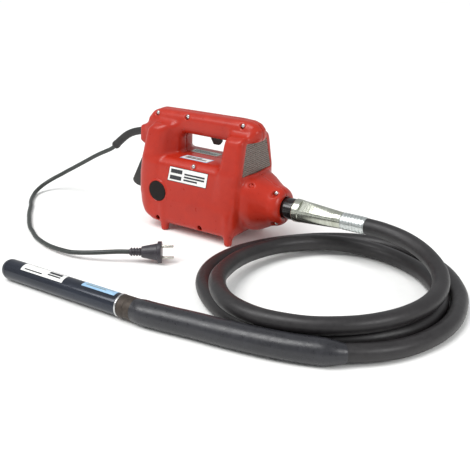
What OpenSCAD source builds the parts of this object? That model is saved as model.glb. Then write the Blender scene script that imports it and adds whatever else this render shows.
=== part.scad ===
// Portable electric concrete vibrator: motor unit with handle, flexible shaft laid
// in loops, and the vibrating needle lying on the floor. Millimetres, +Z up, +X is
// the way the drive leaves the motor, the labelled side faces -Y. The origin is on
// the floor under the middle of the box around the motor and the needle.

/* [Motor housing] */
// height of the motor axis above the floor
axis_h = 70; // [60:1:90]
// half width of the moulded body across the split
body_half = 56; // [45:1:70]
// wall thickness of the moulded halves
wall = 3; // [2:0.5:5]
// height of the body top under the grip
top_h = 131; // [120:1:145]
// height of the four feet under the body
foot_h = 14; // [8:1:25]
// distance between the front and rear feet
foot_pitch = 134; // [110:1:160]
// radius of each foot post
foot_r = 8; // [5:0.5:12]

/* [Handle] */
// half width of the grip
grip_half = 18; // [14:1:24]
// underside of the grip above the floor
grip_low = 167; // [155:1:180]
// top of the grip above the floor
grip_high = 205; // [195:1:220]

/* [Connector] */
// outside radius of the black collar
collar_r = 17.5; // [14:0.5:22]
// large radius of the steel cone
cone_r1 = 19; // [15:0.5:24]
// small radius of the steel cone
cone_r2 = 13; // [10:0.5:18]
// length of the steel cone
cone_len = 85; // [60:1:120]
// length of the crimped ferrule
ferrule_len = 42; // [25:1:60]

/* [Needle] */
// outside diameter of the vibrating needle
needle_d = 32; // [25:1:60]
// length of the steel tube behind the rounded tip
needle_len = 219; // [180:1:400]
// outside diameter of the rubber sleeve behind the needle
sleeve_d = 36; // [30:1:60]

/* [Cords] */
// outside diameter of the flexible shaft
hose_d = 25; // [20:0.5:35]
// outside diameter of the mains cable
cable_d = 7.5; // [6:0.5:10]

/* [Switch] */
// width of the rear switch paddle
paddle_w = 26; // [18:1:34]

/* [Hidden] */
// which piece to draw, or all of them
// place of the motor unit on the floor
motor_x = -61;
motor_y = 152.5;
// end of the rubber sleeve, where the needle starts; the needle rests on its tip
needle_at = [64, -192, 18];
needle_tilt = 0.44;
needle_r = needle_d / 2;
eps = 0.01;
// radii of the shaft journals and of the bearing bores that they run in
journal_r = 5.95;
bore_r = 6;
// inner face of the cheeks beside the paddle
cheek_y = paddle_w / 2 + 0.9;
// screws of the near half: x, z, y of the head seat, half length and radius of
// the pillar; the last two sit in the solid end of the nose
screw_at = [
    [-103, 194, -13, 15.5, 5], [-39, 196, -13, 14.5, 5], [73, 197, -13, 14.5, 5],
    [-3, 124, -47, 50.5, 5.6], [-77, 21.5, -44, 50, 5.6], [13, 21.5, -44, 50, 5.6],
    [138, 96, -13, 0, 0], [139, 46, -13, 0, 0]
];
// where the steel cone starts along the motor axis
cone_x = 168;
// hose route from the crimped ferrule to the rubber sleeve
hose_path = [
    [233.05, 152.5, 70], [241, 152.5, 69.9], [263, 153, 68.5], [296, 150, 64.5], [327, 140, 59],
    [354, 124, 52.5],
    [376, 102, 47], [391, 73, 42.5], [398, 41, 39.5], [397, 7, 38], [389, -26, 37.5],
    [375, -57, 37.5], [354, -86, 37.5], [329, -110, 38], [300, -129, 38], [268, -141, 38.5],
    [236, -147, 39], [204, -144, 39.5], [174, -133, 39.5], [148, -114, 39], [126, -89, 36.5],
    [108, -60, 33], [96, -27, 29.5], [88, 6, 26.5], [86, 41, 24.5], [91, 74, 23],
    [102, 106, 22.5], [120, 134, 22], [143, 159, 20.5], [171, 177, 19], [202, 189, 16.5],
    [235, 193, 14.5], [267, 188, 13.5], [299, 177, 12.5], [329, 159, 12.5], [355, 135, 12.5],
    [376, 108, 12.5], [391, 77, 12.5], [398, 45, 12.5], [398, 12, 12.5], [390, -20, 12.5],
    [374, -49, 12.5], [353, -76, 12.5], [326, -99, 12.5], [297, -116, 12.5], [265, -127, 12.5],
    [232, -132, 12.5], [198, -130, 12.5], [165, -121, 12.5], [134, -106, 12.5], [106, -86, 12.5],
    [82, -62, 12.5], [64, -34, 12.5], [53, -3, 12.5], [50, 30, 12.5], [54, 63, 12.5],
    [65, 95, 12.5], [81, 126, 12.5], [102, 154, 12.5], [126, 180, 12.5], [153, 201, 12.5],
    [182, 217, 12.5], [214, 226, 12.5], [246, 227, 12.5], [279, 221, 12.5], [310, 209, 12.5],
    [339, 191, 12.5], [365, 168, 12.5], [387, 141, 12.5], [405, 112, 12.5], [417, 80, 12.5],
    [425, 47, 12.5], [427, 13, 12.5], [423, -20, 12.5], [413, -53, 12.5], [398, -83, 13.5],
    [378, -109, 15], [354, -131, 16.5]
];
// rubber sleeve route from its shoulder to the needle
sleeve_path = [
    [353.9, -131.1, 16.5], [349.2, -135.4, 16.8], [338, -142.5, 17.6], [325, -148.5, 18],
    [294, -160, 18.5], [261, -168, 18.7], [227, -174, 18.5], [193, -178.5, 18.5],
    [159, -182, 18.3], [125, -186.5, 18], [106, -189.4, 18.2], [88, -191.4, 18.18],
    [74, -192, 18.08], [64, -192, 18]
];
// rubber strain relief, in motor coordinates, from inside the horn to its free end
relief_path = [
    [-134, 0, 157.5], [-143, 0, 154.9], [-146.5, 0, 153.9], [-160, 0, 150.6], [-175, 0, 145.8],
    [-190, 0, 138], [-206, 0, 125.5], [-219, 0, 114.2]
];
relief_r = [8.6, 8.6, 6.7, 6.7, 6.8, 6.9, 7.1, 7.2];
// mains cable route from the strain relief to the plug
cable_path = [
    [-280.1, 152.5, 114.1], [-284, 152.5, 110.7], [-292, 152.5, 105.5], [-304, 152.5, 99.5],
    [-319, 153, 92.3], [-334, 153, 84.5], [-349, 153, 76], [-364, 153.5, 67.5], [-379, 153.5, 59],
    [-394, 153, 50.5], [-409, 152, 42], [-424, 149.5, 33], [-438, 144, 24.5], [-448, 133, 16.5],
    [-451, 118, 10], [-447, 102, 6], [-438, 87, 4], [-427, 73, 4], [-415, 60, 4], [-402, 48, 4],
    [-390, 35, 4], [-378, 22, 4], [-366, 10, 4], [-354, -1, 4], [-341, -13, 4],
    [-328, -24, 4], [-315, -34, 4], [-300, -43, 4], [-286, -52, 4], [-271, -60, 4],
    [-256, -66, 4.5], [-240, -72, 5.5], [-223, -77, 6.5], [-206, -80, 7.5], [-190, -81.5, 8.5],
    [-172, -81.5, 9.5], [-156, -79, 11.5], [-140, -74, 13.5], [-124, -67.5, 15.5], [-109, -60, 17.3],
    [-94, -51, 18.5], [-80, -42, 18.5]
];

// ---- small helpers ----

module at_motor() {
    translate([motor_x, motor_y, 0])
        children();
}

// frame of the needle: x = 0 at the joint with the rubber sleeve, the tip at -x
module at_needle() {
    translate(needle_at)
        rotate([0, -needle_tilt, 0])
            children();
}

// solid bar along the motor axis
module xbar(x0, x1, r) {
    translate([x0, 0, axis_h])
        rotate([0, 90, 0])
            cylinder(h = x1 - x0, r = r, $fn = 64);
}

module xring(x0, x1, r_out, r_in) {
    difference() {
        xbar(x0, x1, r_out);
        xbar(x0 - 1, x1 + 1, r_in);
    }
}

// the same along the needle axis
module nbar(x0, x1, r) {
    translate([x0, 0, 0])
        rotate([0, 90, 0])
            cylinder(h = x1 - x0, r = r, $fn = 64);
}

module nring(x0, x1, r_out, r_in) {
    difference() {
        nbar(x0, x1, r_out);
        nbar(x0 - 1, x1 + 1, r_in);
    }
}

// bar across the split, in motor coordinates
module ybar(x, z, y0, y1, r) {
    translate([x, y1, z])
        rotate([90, 0, 0])
            cylinder(h = y1 - y0, r = r, $fn = 32);
}

// flat outline in the x-z plane given a width across the split
module xz_slab(y0, y1) {
    translate([0, y1, 0])
        rotate([90, 0, 0])
            linear_extrude(y1 - y0)
                children();
}

// rectangle from corner to corner with round corners
module round_rect(x0, y0, x1, y1, r) {
    translate([x0 + r, y0])
        square([x1 - x0 - 2 * r, y1 - y0]);
    translate([x0, y0 + r])
        square([x1 - x0, y1 - y0 - 2 * r]);
    for (x = [x0 + r, x1 - r])
        for (y = [y0 + r, y1 - r])
            translate([x, y])
                circle(r, $fn = 48);
}

function unit(v) = v / norm(v);
function tangent_at(p, i) =
    i == 0 ? unit(p[1] - p[0]) :
    i == len(p) - 1 ? unit(p[i] - p[i - 1]) : unit(p[i + 1] - p[i - 1]);
function ring_at(p, i, r, n) =
    let (t = tangent_at(p, i), s = unit(cross(t, [0, 0, 1])), u = cross(s, t))
    [for (k = [0 : n - 1]) p[i] + r * (cos(360 * k / n) * s + sin(360 * k / n) * u)];

// closed tube along a list of points, one radius for each point
module tube(p, r, n) {
    count = len(p);
    pts = [for (i = [0 : count - 1]) each ring_at(p, i, r[i], n)];
    walls = [for (i = [0 : count - 2]) for (k = [0 : n - 1])
        [i * n + k, i * n + (k + 1) % n, (i + 1) * n + (k + 1) % n, (i + 1) * n + k]];
    first = [for (k = [0 : n - 1]) n - 1 - k];
    last = [for (k = [0 : n - 1]) (count - 1) * n + k];
    polyhedron(points = pts, faces = concat([first], walls, [last]), convexity = 8);
}

// ---- outline of the moulded body, i is the depth below the outside ----

module body_block(i) {
    intersection() {
        xz_slab(-body_half + i, body_half - i)
            polygon([
                [-92 + i, foot_h + i], [-116 + i, 24 + i], [-128 + i, 38], [-134 + i, 58],
                [-129 + i, 96], [-123 + i, top_h - i], [92 - i, top_h - i],
                [92 - i, 34], [86 - i, 22 + i], [76 - i, foot_h + i]
            ]);
        translate([-140, 0, 0])
            rotate([90, 0, 90])
                linear_extrude(240)
                    round_rect(-body_half + i, foot_h + i, body_half - i, top_h - i, 11 - i);
        linear_extrude(200)
            union() {
                translate([-104, 0])
                    round_rect(-30 + i, -body_half + i, 60, body_half - i, 30 - i);
                translate([-60, 0])
                    round_rect(0, -body_half + i, 152 - i, body_half - i, 6 - i);
            }
    }
}

module column_section(i) {
    polygon([
        [-54 + i, 60], [-47 + i, 168], [-44 + i, 177 - i], [-36 + i, 184 - i],
        [36 - i, 184 - i], [44 - i, 177 - i], [47 - i, 168], [54 - i, 60]
    ]);
}

module columns(i) {
    intersection() {
        xz_slab(-60, 60)
            union() {
                polygon([
                    [-128 + i, 100], [-117 + i, 150], [-110 + i, 172], [-99 + i, 190],
                    [-60 - i, 190], [-56 - i, top_h], [-56 - i, 100]
                ]);
                polygon([[56 + i, 100], [56 + i, top_h], [60 + i, 190], [92 - i, 190], [92 - i, 100]]);
            }
        translate([-140, 0, 0])
            rotate([90, 0, 90])
                linear_extrude(240)
                    column_section(i);
        linear_extrude(200)
            union() {
                intersection() {
                    translate([-98, 0])
                        round_rect(-30 + i, -54 + i, 60, 54 - i, 30 - i);
                    polygon([
                        [-140, -60], [-88 - 1.25 * i, -60], [-56 - 1.25 * i, -18],
                        [-56 - 1.25 * i, 18], [-88 - 1.25 * i, 60], [-140, 60]
                    ]);
                }
                translate([-60, 0])
                    round_rect(0, -54 + i, 152 - i, 54 - i, 6 - i);
            }
    }
}

module grip(i) {
    intersection() {
        xz_slab(-grip_half + i, grip_half - i)
            polygon([
                [-118 + i, 120], [-129 + i, 150], [-132 + i, 168], [-127 + i, 184],
                [-116 + i, 196 - i], [-101, 202 - i], [-60, grip_high - 2 - i],
                [60, grip_high - i], [82, grip_high - 1 - i], [94 - i, 200 - i],
                [102 - i, 191], [103 - i, 178], [91 - i, 160], [91 - i, 120],
                [56 + i, 120], [60 + i, grip_low - 5 + i], [54 + i, grip_low + i],
                [-50 - i, grip_low + i], [-58 - i, grip_low - 5 + i], [-56 - i, 120]
            ]);
        translate([-140, 0, 0])
            rotate([90, 0, 90])
                linear_extrude(260)
                    union() {
                        round_rect(-grip_half + i, 150, grip_half - i, grip_high - i, 12 - i);
                        translate([-grip_half + i, 110])
                            square([2 * (grip_half - i), 60]);
                    }
    }
}

module nose(i) {
    translate([0, 0, axis_h])
        rotate([0, 90, 0])
            rotate_extrude($fn = 96)
                polygon([
                    [0, 80], [48 - i, 80], [48 - i, 96], [45 - i, 106], [38 - i, 121],
                    [33.5 - i, 130], [32 - i, 139], [29 - i, 144.5], [24.5 - i, 148.5], [0, 148.5]
                ]);
}

module cable_horn(i) {
    xz_slab(-15 + i, 15 - i)
        polygon([
            [-108, 170 - i], [-132, 171 - i], [-145.5, 166 - i], [-147.5, 139 + i],
            [-137, 133 + i], [-108, 130 + i]
        ]);
}

module feet() {
    for (x = [-foot_pitch / 2, foot_pitch / 2])
        for (y = [-body_half + foot_r - 1.5, body_half - foot_r + 1.5])
            translate([x, y, 0]) {
                translate([0, 0, 2])
                    cylinder(h = 70, r = foot_r, $fn = 48);
                cylinder(h = 2, r1 = foot_r - 2, r2 = foot_r, $fn = 48);
            }
}

module outside() {
    body_block(0);
    columns(0);
    grip(0);
    nose(0);
    cable_horn(0);
    feet();
}

module inside() {
    body_block(wall);
    columns(wall);
    grip(wall);
    intersection() {
        nose(wall + 1);
        xbar(70, 118, 60);
    }
}

// stator outline, used for the core and for the ribs that hold it
module stator_outline(gap) {
    intersection() {
        circle(43 + gap, $fn = 96);
        square(80 + 2 * gap, center = true);
    }
}

// half of a cross plate, from the mid-plane out to y1
module half_plate(x0, x1, z0, z1, y1) {
    translate([x0, 0, z0])
        cube([x1 - x0, y1, z1 - z0]);
}

// what one half holds inside: screw pillars, bearing walls, stator ribs, shelves,
// a cheek of the paddle slot and the seat of a brush holder
module half_ribs() {
    for (s = screw_at)
        if (s[0] < 120)
            ybar(s[0], s[1], 0, s[3], s[4]);
    difference() {
        half_plate(-112, -100, 24, 93, body_half - 5);
        xbar(-113, -99, 13.02);
    }
    difference() {
        half_plate(70.5, 81.5, 24, 122, body_half - 1.5);
        xbar(69, 83, 16.02);
        for (up = [-1, 1])
            translate([69, 24, axis_h + up * 24])
                rotate([0, 90, 0])
                    cylinder(h = 14, r = 12, $fn = 48);
    }
    for (x = [-40, 2])
        difference() {
            half_plate(x, x + 6, foot_h + 10, top_h - 1.5, body_half - 1.5);
            translate([x - 1, 0, axis_h])
                rotate([90, 0, 90])
                    linear_extrude(8)
                        stator_outline(0.05);
        }
    half_plate(-104, -84, 92, 94.9, body_half - 1.5);
    translate([0, 0, 137])
        linear_extrude(2.9)
            polygon([[-98, 0], [-66, 0], [-66, 20], [-80, 46], [-98, 46]]);
    xz_slab(cheek_y, 21)
        polygon([
            [-110, 38], [-126, 40], [-132.3, 58], [-127.5, 96], [-121.5, 130],
            [-118.5, 136], [-110, 136]
        ]);
    ybar(-76, axis_h, 42, 54, 16.5);
}

module half_space(side) {
    translate([-160, side < 0 ? -70 : 0, -1])
        cube([330, 70, 220]);
}

// one moulded half, split on the mid-plane
module half(side) {
    difference() {
        union() {
            difference() {
                intersection() {
                    outside();
                    half_space(side);
                }
                inside();
            }
            mirror([0, side < 0 ? 1 : 0, 0])
                half_ribs();
        }
        // bore for the nose socket
        xbar(117, 156, 20.05);
        // opening behind the front grille
        translate([87, 0, 0])
            rotate([90, 0, 90])
                linear_extrude(8)
                    polygon([[-40, 122], [40, 122], [27, 171], [-27, 171]]);
        // slot for the switch paddle and holes for its pin
        xz_slab(-paddle_w / 2 - 0.5, paddle_w / 2 + 0.5)
            polygon([[-144, 44], [-113, 44], [-113, 134], [-144, 134]]);
        ybar(-119, 124, -19.7, 19.7, 2.55);
        // mouth of the cable horn and the space for the cable clamp
        translate([-145, 0, 154.4])
            rotate([0, 74, 0])
                cylinder(h = 40, r = 9, center = true, $fn = 48);
        translate([-132, -9, 146])
            cube([26, 18, 16]);
        // holes for the brush holders and seats for the round side caps
        ybar(-76, axis_h, -body_half - 1, body_half + 1, 14.05);
        ybar(-76, axis_h, -body_half - 2, -body_half + 2, 17.9);
        ybar(-76, axis_h, body_half - 2, body_half + 2, 17.9);
        // screw holes with head recesses
        for (s = screw_at) {
            ybar(s[0], s[1], -body_half - 2, s[2], 4.2);
            ybar(s[0], s[1], s[2] - 1, 10, 2.05);
        }
        // screw hole of the strap lug
        translate([-1, 14, grip_low - 1])
            cylinder(h = 12, r = 1.55, $fn = 32);
    }
}

module housing_near() {
    color("orangered")
        at_motor()
            half(-1);
}

module housing_far() {
    color("orangered")
        at_motor()
            half(1);
}

module front_grille() {
    color("dimgray")
        at_motor()
            translate([87.4, 0, 0])
                rotate([90, 0, 90])
                    linear_extrude(1.4)
                        difference() {
                            polygon([[-42, 119.5], [42, 119.5], [29, 173], [-29, 173]]);
                            for (row = [0 : 6])
                                for (k = [-3 + floor(row / 4) : 3 - floor(row / 4)])
                                    translate([k * 9.5, 128 + row * 6.4])
                                        circle(2.2, $fn = 24);
                        }
}

module housing_screws() {
    color("silver")
        at_motor()
            for (s = screw_at) {
                ybar(s[0], s[1], s[2] - 2.6, s[2], 3.8);
                ybar(s[0], s[1], s[2] - eps, 9, 2);
            }
}

// ---- motor ----

module rear_bearing() {
    color("lightgray")
        at_motor()
            xring(-111.5, -100.5, 13, bore_r);
}

module front_bearing() {
    color("lightgray")
        at_motor()
            xring(70.5, 81.5, 16, bore_r);
}

module stator_core() {
    color("slategray")
        at_motor()
            translate([-52, 0, axis_h])
                rotate([90, 0, 90])
                    linear_extrude(70)
                        difference() {
                            stator_outline(0);
                            circle(25.3, $fn = 96);
                            for (a = [-1, 1])
                                for (b = [-1, 1])
                                    translate([31 * a, 11 * b])
                                        square(9, center = true);
                        }
}

module field_coils() {
    color("sienna")
        at_motor()
            for (side = [-1, 1]) {
                for (a = [-1, 1])
                    translate([-60, 31 * a - 4.3, axis_h + 11 * side - 4.3])
                        cube([86, 8.6, 8.6]);
                for (x = [-62, 19])
                    intersection() {
                        xring(x, x + 9, 38, 27.5);
                        translate([x - 1, -40, axis_h + (side > 0 ? 6.7 : -46.7)])
                            cube([11, 80, 40]);
                    }
            }
}

module fan_baffle() {
    color("black")
        at_motor()
            difference() {
                translate([34, 0, 0])
                    rotate([90, 0, 90])
                        linear_extrude(3)
                            polygon([
                                [-52.95, 24], [52.95, 24], [52.95, 60], [49.6, 118],
                                [-49.6, 118], [-52.95, 60]
                            ]);
                xbar(33, 38, 30);
            }
}

module armature_shaft() {
    color("silver")
        at_motor() {
            xbar(-113, -99, journal_r);
            xbar(-99, 70, 6.6);
            xbar(70, 100, journal_r);
        }
}

module armature_core() {
    color("gray")
        at_motor()
            translate([-52, 0, axis_h])
                rotate([90, 0, 90])
                    linear_extrude(70)
                        difference() {
                            circle(24.6, $fn = 96);
                            circle(6.61, $fn = 64);
                            for (k = [0 : 11])
                                rotate(30 * k)
                                    translate([14, -1.6])
                                        square([12, 3.2]);
                        }
}

module armature_windings() {
    color("peru")
        at_motor() {
            xring(-62, -52.02, 21, 6.62);
            xring(18.02, 28, 21, 6.62);
            translate([-53, 0, axis_h])
                rotate([90, 0, 90])
                    linear_extrude(72)
                        for (k = [0 : 11])
                            rotate(30 * k)
                                translate([14.3, -1.5])
                                    square([9, 3]);
        }
}

module commutator() {
    color("darkorange")
        at_motor()
            translate([-88, 0, axis_h])
                rotate([90, 0, 90])
                    linear_extrude(24)
                        difference() {
                            circle(13, $fn = 96);
                            circle(6.62, $fn = 64);
                            for (k = [0 : 23])
                                rotate(15 * k)
                                    translate([11.5, -0.35])
                                        square([2, 0.7]);
                        }
}

module cooling_fan() {
    color("whitesmoke")
        at_motor() {
            xring(42, 58, 10, 6.62);
            xring(42, 44, 40, 9.9);
            for (k = [0 : 8])
                translate([0, 0, axis_h])
                    rotate([40 * k, 0, 0])
                        translate([43.9, -1, 9.5])
                            cube([12, 2, 30]);
        }
}

module brush_holders() {
    color("black")
        at_motor()
            for (side = [-1, 1])
                difference() {
                    union() {
                        ybar(-76, axis_h, side < 0 ? -50 : 16, side < 0 ? -16 : 50, 9);
                        ybar(-76, axis_h, side < 0 ? -50 : 43, side < 0 ? -43 : 50, 14);
                    }
                    translate([-80.1, -60, axis_h - 3.1])
                        cube([8.2, 120, 6.2]);
                }
}

module carbon_brushes() {
    color("dimgray")
        at_motor()
            for (side = [-1, 1])
                difference() {
                    translate([-80, side < 0 ? -34 : 13.06, axis_h - 3])
                        cube([8, 20.94, 6]);
                    xbar(-90, -60, 13.06);
                }
}

module brush_springs() {
    color("goldenrod")
        at_motor()
            for (side = [-1, 1])
                tube([for (k = [0 : 60])
                    [-76 + 2.2 * cos(30 * k), side * (34.6 + k * 0.22), axis_h + 2.2 * sin(30 * k)]],
                    [for (k = [0 : 60]) 0.4], 6);
}

module brush_caps() {
    color("black")
        at_motor()
            for (side = [-1, 1]) {
                ybar(-76, axis_h, side < 0 ? -body_half - 0.6 : 50.1, side < 0 ? -50.1 : body_half + 0.6, 14);
                ybar(-76, axis_h, side < 0 ? -body_half - 1 : body_half - 1.9,
                    side < 0 ? -body_half + 1.9 : body_half + 1, 17.7);
            }
}

// ---- switch, cable entry ----

module switch_body() {
    color("black")
        at_motor()
            difference() {
                translate([-106, -11, 95])
                    cube([26, 22, 24]);
                translate([-107, 0, 107])
                    rotate([0, 90, 0])
                        cylinder(h = 12, r = 3.1, $fn = 32);
            }
}

module switch_plunger() {
    color("ivory")
        at_motor()
            translate([-120.6, 0, 107])
                rotate([0, 90, 0])
                    cylinder(h = 22, r = 3, $fn = 32);
}

module switch_paddle() {
    color("black")
        at_motor()
            difference() {
                xz_slab(-paddle_w / 2, paddle_w / 2)
                    polygon([
                        [-114.5, 127], [-117, 130], [-131, 130], [-137, 124], [-169, 64],
                        [-167, 58], [-160, 54], [-146, 52], [-128, 58], [-122, 66],
                        [-121, 112], [-114.5, 118]
                    ]);
                ybar(-119, 124, -14, 14, 2.56);
            }
}

module paddle_pin() {
    color("silver")
        at_motor()
            ybar(-119, 124, -19.5, 19.5, 2.5);
}

module capacitor() {
    color("khaki")
        at_motor()
            translate([-96, -12, 140])
                cube([26, 24, 14]);
}

module cable_clamp() {
    color("black")
        at_motor()
            translate([-130, -8.5, 146.02])
                cube([12, 17, 4]);
}

module clamp_screws() {
    color("silver")
        at_motor()
            for (y = [-6, 6])
                translate([-124, y, 150.05])
                    cylinder(h = 1.2, r = 1.8, $fn = 24);
}

module strain_relief() {
    color("black")
        at_motor()
            tube(relief_path, relief_r, 16);
}

module mains_cable() {
    color("black")
        tube(cable_path, [for (p = cable_path) cable_d / 2], 8);
}

module at_plug() {
    translate([-80, -42, 18.5])
        rotate([0, 0, 34])
            children();
}

module plug_sleeve() {
    color("black")
        at_plug()
            rotate([0, 90, 0]) {
                cylinder(h = 19, r = 5.4, $fn = 48);
                for (k = [0 : 3])
                    translate([0, 0, 2 + k * 4.4])
                        cylinder(h = 2.4, r = 6.6, $fn = 48);
            }
}

module plug_body() {
    color("black")
        at_plug()
            difference() {
                rotate([0, 90, 0])
                    union() {
                        translate([0, 0, 19])
                            cylinder(h = 26, r1 = 9, r2 = 13.8, $fn = 64);
                        translate([0, 0, 45])
                            cylinder(h = 6, r = 17, $fn = 96);
                    }
                for (s = [-1, 1])
                    translate([43, 0, 9.5 * s])
                        rotate([0, 90, 0])
                            cylinder(h = 12, r = 2, $fn = 32);
            }
}

module plug_pins() {
    color("silver")
        at_plug()
            for (s = [-1, 1])
                translate([43, 0, 9.5 * s])
                    rotate([0, 90, 0]) {
                        cylinder(h = 8.3, r = 2, $fn = 32);
                        translate([0, 0, 8.3])
                            cylinder(h = 17.7, r = 2.4, $fn = 32);
                        translate([0, 0, 26])
                            cylinder(h = 1, r1 = 2.4, r2 = 1.4, $fn = 32);
                    }
}

module strap_lug() {
    color("black")
        at_motor()
            difference() {
                union() {
                    translate([-12, 8, grip_low - 4])
                        cube([24, 12, 4]);
                    translate([-10, 12, grip_low - 18])
                        cube([20, 4, 14.5]);
                }
                ybar(0, grip_low - 10, 5, 25, 3);
                translate([-1, 14, grip_low - 30])
                    cylinder(h = 31, r = 1.5, $fn = 32);
            }
}

module lug_screw() {
    color("silver")
        at_motor()
            translate([-1, 14, grip_low - 3])
                cylinder(h = 12, r = 1.48, $fn = 32);
}

// ---- connector ----

module nose_socket() {
    color("silver")
        at_motor()
            xring(117.05, 146, 20, collar_r + 0.02);
}

module drive_socket() {
    color("gray")
        at_motor()
            difference() {
                xbar(100.02, 116, 9);
                translate([104, -3.1, axis_h - 3.1])
                    cube([13, 6.2, 6.2]);
            }
}

module drive_end() {
    color("silver")
        at_motor() {
            translate([104.1, -3, axis_h - 3])
                cube([18, 6, 6]);
            xbar(122, 150, 4);
        }
}

module coupling_collar() {
    color("black")
        at_motor()
            xring(124, cone_x, collar_r, 13);
}

module shaft_connector() {
    color("silver")
        at_motor()
            difference() {
                union() {
                    xbar(130, cone_x + 0.02, 12.98);
                    translate([cone_x, 0, axis_h])
                        rotate([0, 90, 0])
                            cylinder(h = cone_len, r1 = cone_r1, r2 = cone_r2, $fn = 96);
                }
                xbar(129, 254, 6);
                translate([173, 0, axis_h])
                    rotate([35, 0, 0])
                        translate([0, -20, 14.2])
                            cube([64, 40, 10]);
            }
}

module crimp_ferrule() {
    color("lightgray")
        at_motor()
            difference() {
                xbar(cone_x + cone_len, cone_x + cone_len + ferrule_len - 1, 13.4);
                xbar(cone_x + cone_len - 1, cone_x + cone_len + 12, 8);
                for (k = [0 : 6])
                    xring(cone_x + 3 + cone_len + k * 4.6, cone_x + 4.2 + cone_len + k * 4.6, 16, 12.7);
            }
}

module hose() {
    color("black")
        tube(hose_path, [for (p = hose_path) hose_d / 2], 12);
}

module hose_sleeve() {
    color("black")
        tube(sleeve_path, concat([13.5, 16, 17.5], [for (k = [3 : len(sleeve_path) - 1]) sleeve_d / 2]), 16);
}

// ---- needle ----

module needle_ferrule() {
    color("saddlebrown")
        at_needle()
            nring(-24, -0.05, 16.5, 5);
}

module needle_ring() {
    color("silver")
        at_needle()
            nring(-27, -24, 16.8, 5);
}

module needle_tube() {
    color("midnightblue")
        at_needle()
            nring(-27 - needle_len, -27, needle_r, 11.5);
}

module needle_tip() {
    color("midnightblue")
        at_needle()
            translate([-27 - needle_len, 0, 0]) {
                intersection() {
                    sphere(r = needle_r, $fn = 96);
                    translate([-20, -20, -20])
                        cube([20, 40, 40]);
                }
                difference() {
                    translate([-1, 0, 0])
                        rotate([0, 90, 0])
                            cylinder(h = 9, r = 11.46, $fn = 64);
                    translate([2, 0, 0])
                        rotate([0, 90, 0])
                            cylinder(h = 7, r = 8, $fn = 64);
                }
            }
}

module needle_bearings() {
    color("lightgray")
        at_needle()
            for (x = [-236, -64])
                nring(x, x + 10, 11.46, 4.03);
}

module needle_weight() {
    color("gray")
        at_needle() {
            nbar(-238, -18, 4);
            difference() {
                nbar(-222, -72, 9.6);
                translate([-223, -12, 0.5])
                    cube([152, 24, 12]);
            }
        }
}

module needle_seal() {
    color("black")
        at_needle()
            nring(-46, -38, 11.46, 4.1);
}

// ---- stickers, left without lettering ----

module side_label() {
    color("white")
        at_motor()
            xz_slab(-body_half - 0.5, -body_half)
                polygon([[-54.5, 92.5], [25.5, 92.5], [29.5, 117.5], [-50.5, 117.5]]);
}

module shoulder_label() {
    color("steelblue")
        at_motor()
            translate([0, 0, top_h])
                linear_extrude(0.4)
                    polygon([[-42, -34], [14, -34], [18, -18], [-38, -18]]);
}

module top_plate() {
    color("silver")
        at_motor()
            translate([-50, 3, top_h])
                cube([57, 17, 0.5]);
}

module needle_labels() {
    color("white")
        at_needle()
            for (x = [[-215, -130], [-96, -34]])
                intersection() {
                    nring(x[0], x[1], needle_r + 0.35, needle_r);
                    translate([x[0] - 1, -11, 0])
                        cube([x[1] - x[0] + 2, 22, 20]);
                }
}

housing_near();
housing_far();
front_grille();
housing_screws();
rear_bearing();
front_bearing();
stator_core();
field_coils();
fan_baffle();
armature_shaft();
armature_core();
armature_windings();
commutator();
cooling_fan();
brush_holders();
carbon_brushes();
brush_springs();
brush_caps();
switch_body();
switch_plunger();
switch_paddle();
paddle_pin();
capacitor();
cable_clamp();
clamp_screws();
strain_relief();
mains_cable();
plug_sleeve();
plug_body();
plug_pins();
strap_lug();
lug_screw();
nose_socket();
drive_socket();
drive_end();
coupling_collar();
shaft_connector();
crimp_ferrule();
hose();
hose_sleeve();
needle_ferrule();
needle_ring();
needle_tube();
needle_tip();
needle_bearings();
needle_weight();
needle_seal();
side_label();
shoulder_label();
top_plate();
needle_labels();
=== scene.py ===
import math

import bmesh
import bpy
import numpy as np
from mathutils import Matrix, Vector


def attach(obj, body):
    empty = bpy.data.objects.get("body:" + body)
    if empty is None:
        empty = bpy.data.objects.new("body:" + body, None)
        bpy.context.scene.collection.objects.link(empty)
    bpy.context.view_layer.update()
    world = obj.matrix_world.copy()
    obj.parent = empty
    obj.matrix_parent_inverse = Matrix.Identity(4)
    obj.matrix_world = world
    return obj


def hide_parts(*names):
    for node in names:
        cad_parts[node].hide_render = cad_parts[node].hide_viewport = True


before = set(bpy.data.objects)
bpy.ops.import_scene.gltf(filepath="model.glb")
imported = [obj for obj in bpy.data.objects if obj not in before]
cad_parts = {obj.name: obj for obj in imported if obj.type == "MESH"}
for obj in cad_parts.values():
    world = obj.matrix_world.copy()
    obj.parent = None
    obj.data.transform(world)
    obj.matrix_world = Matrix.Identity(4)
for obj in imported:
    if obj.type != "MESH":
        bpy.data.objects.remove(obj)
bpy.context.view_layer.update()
mm = 0.001
motorPlace = Vector((-0.061, 0.1525, 0))  # the motor unit's own origin, on the floor under it
needlePlace = Vector((0.064, -0.192, 0.018))  # where the rubber sleeve ends and the needle starts
needleTurn = Matrix.Rotation(math.radians(-0.44), 4, "Y")
plugPlace = Vector((-0.080, -0.042, 0.0185))
plugTurn = Matrix.Rotation(math.radians(34), 4, "Z")
atMotor = Matrix.Translation(motorPlace)
atNeedle = Matrix.Translation(needlePlace) @ needleTurn
atPlug = Matrix.Translation(plugPlace) @ plugTurn
print("frame loaded")


# camera, floor and light

viewPoint = {"place": (0.8112, -1.0168, 0.5638), "pitch": 68.47, "turn": 35.2, "lens": 68.94}


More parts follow.
